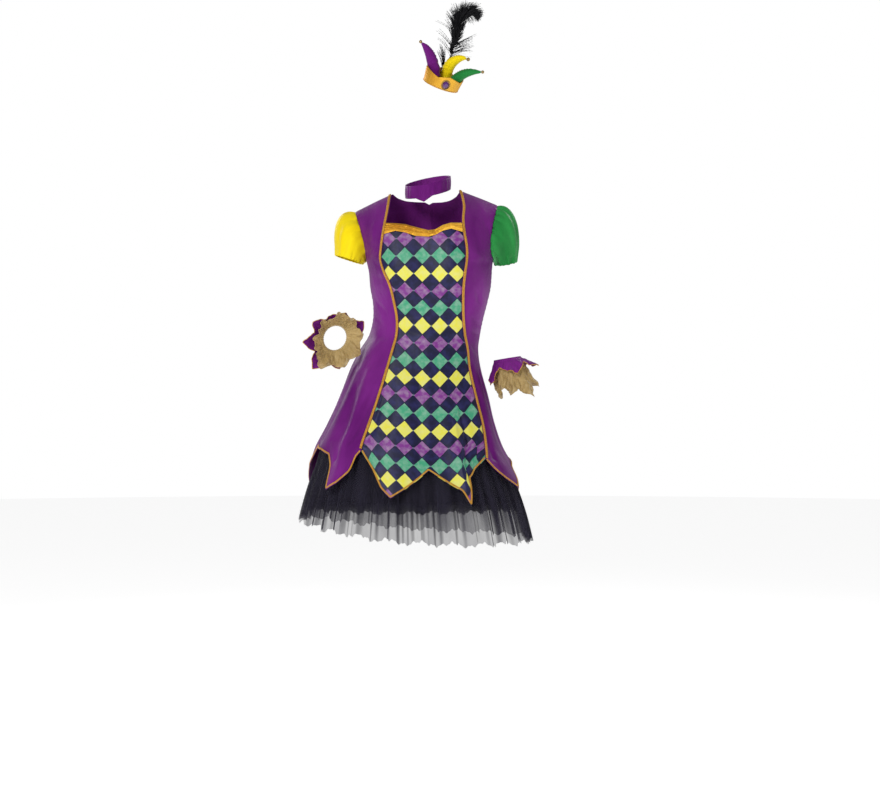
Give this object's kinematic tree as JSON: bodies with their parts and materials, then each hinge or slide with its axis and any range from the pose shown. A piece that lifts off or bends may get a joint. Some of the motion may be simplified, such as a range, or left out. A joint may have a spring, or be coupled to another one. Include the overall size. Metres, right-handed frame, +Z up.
{
  "type": "harlequin costume",
  "caption": "Worn harlequin costume with no wearer: short princess-cut dress with puff sleeves and net petticoat, choker, wrist cuffs and mini jester hat with a plume.",
  "frame": {"origin": "middle of the neck opening, level with the shoulder seams, where the wearer's shoulders hold the dress", "axes": "+Z up, -Y to the front, +X towards the green sleeve, on the right in the picture"},
  "size_m": [0.6001, 0.5049, 1.3182],
  "materials": {
    "purple_satin": "shiny satin",
    "harlequin_print": "satin printed with purple, green, yellow and navy diamonds",
    "yellow_satin": "shiny satin",
    "green_satin": "shiny satin",
    "gold_satin": "metallic satin",
    "gold_braid": "woven metallic braid",
    "gold_organza": "sheer organza",
    "black_net": "layered net, opaque",
    "sheer_net": "sheer net",
    "black_feather": "soft plume",
    "gold_metal": "dull gold metal",
    "purple_gem": "faceted acrylic"
  },
  "bodies": {
    "root": {"front_panel": "harlequin_print", "side_front_yellow": "purple_satin", "side_front_green": "purple_satin", "back_yellow": "purple_satin", "back_green": "purple_satin", "sleeve_yellow": "yellow_satin", "sleeve_green": "green_satin", "neckline_band": "gold_satin", "seam_braid_yellow": "gold_braid", "seam_braid_green": "gold_braid", "hem_braid_front_panel": "gold_braid", "hem_braid_side_front_yellow": "gold_braid", "hem_braid_side_front_green": "gold_braid", "hem_braid_back_yellow": "gold_braid", "hem_braid_back_green": "gold_braid", "petticoat_yoke_front": "black_net", "petticoat_yoke_back": "black_net", "petticoat_dense_front": "black_net", "petticoat_dense_back": "black_net", "petticoat_sheer_front": "sheer_net", "petticoat_sheer_back": "sheer_net", "choker": "purple_satin", "cuff_yellow_side_satin": "purple_satin", "cuff_yellow_side_organza": "gold_organza", "cuff_green_side_satin": "purple_satin", "cuff_green_side_organza": "gold_organza", "hat_crown": "gold_satin", "hat_base": "gold_satin", "hat_horn_purple": "purple_satin", "hat_horn_yellow": "yellow_satin", "hat_horn_green": "green_satin", "hat_feather": "black_feather", "hat_bell_purple": "gold_metal", "hat_bell_yellow": "gold_metal", "hat_bell_green": "gold_metal", "hat_gem": "purple_gem", "hat_gem_rim": "gold_metal"}
  },
  "joints": []
}
